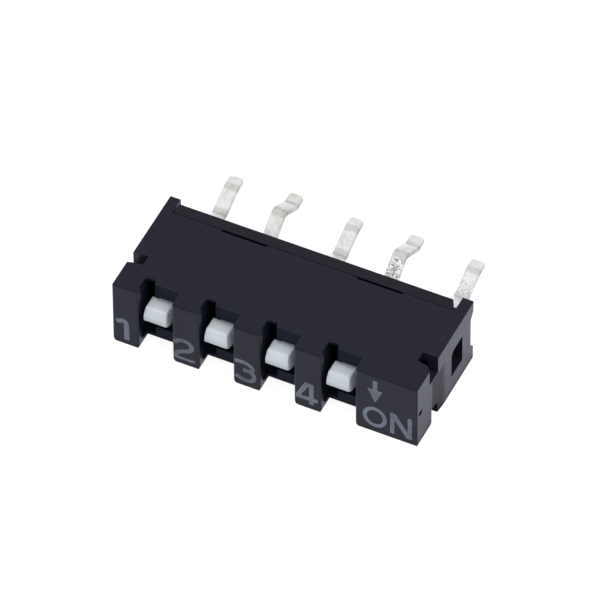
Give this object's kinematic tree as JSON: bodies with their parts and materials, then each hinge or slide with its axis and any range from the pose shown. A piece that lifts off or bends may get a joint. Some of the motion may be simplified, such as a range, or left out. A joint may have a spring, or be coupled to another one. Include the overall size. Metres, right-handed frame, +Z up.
{
  "type": "dip switch",
  "caption": "Single-row slide switch block with a slotted black cover, white sliding knobs on its front and kinked flat terminals on its back.",
  "frame": {"origin": "middle of the large side that the switch lies on, at the middle of the body's length and of its depth", "axes": "+X along the row from way 1 to the common terminal, -Y out of the slotted front with the knobs, +Y the way the terminals point, +Z up, from the side it lies on"},
  "size_m": [0.0126, 0.0082, 0.0032],
  "materials": {
    "cover_plastic": "satin",
    "carrier_plastic": "matte",
    "knob_plastic": "satin",
    "contact_metal": "polished",
    "terminal_tin": "satin"
  },
  "bodies": {
    "housing": {"cover": "cover_plastic", "base": "carrier_plastic", "terminal_1": "terminal_tin", "terminal_2": "terminal_tin", "terminal_3": "terminal_tin", "terminal_4": "terminal_tin", "common_terminal": "terminal_tin"},
    "way_1": {"slider_1": "knob_plastic", "contact_spring_1": "contact_metal"},
    "way_2": {"slider_2": "knob_plastic", "contact_spring_2": "contact_metal"},
    "way_3": {"slider_3": "knob_plastic", "contact_spring_3": "contact_metal"},
    "way_4": {"slider_4": "knob_plastic", "contact_spring_4": "contact_metal"}
  },
  "joints": [
    {"name": "slide_1", "type": "slide", "parent": "housing", "child": "way_1", "axis": [0, 0, -1], "range_m": [0, 0.0007]},
    {"name": "slide_2", "type": "slide", "parent": "housing", "child": "way_2", "axis": [0, 0, -1], "range_m": [0, 0.0007]},
    {"name": "slide_3", "type": "slide", "parent": "housing", "child": "way_3", "axis": [0, 0, -1], "range_m": [0, 0.0007]},
    {"name": "slide_4", "type": "slide", "parent": "housing", "child": "way_4", "axis": [0, 0, -1], "range_m": [0, 0.0007]}
  ]
}
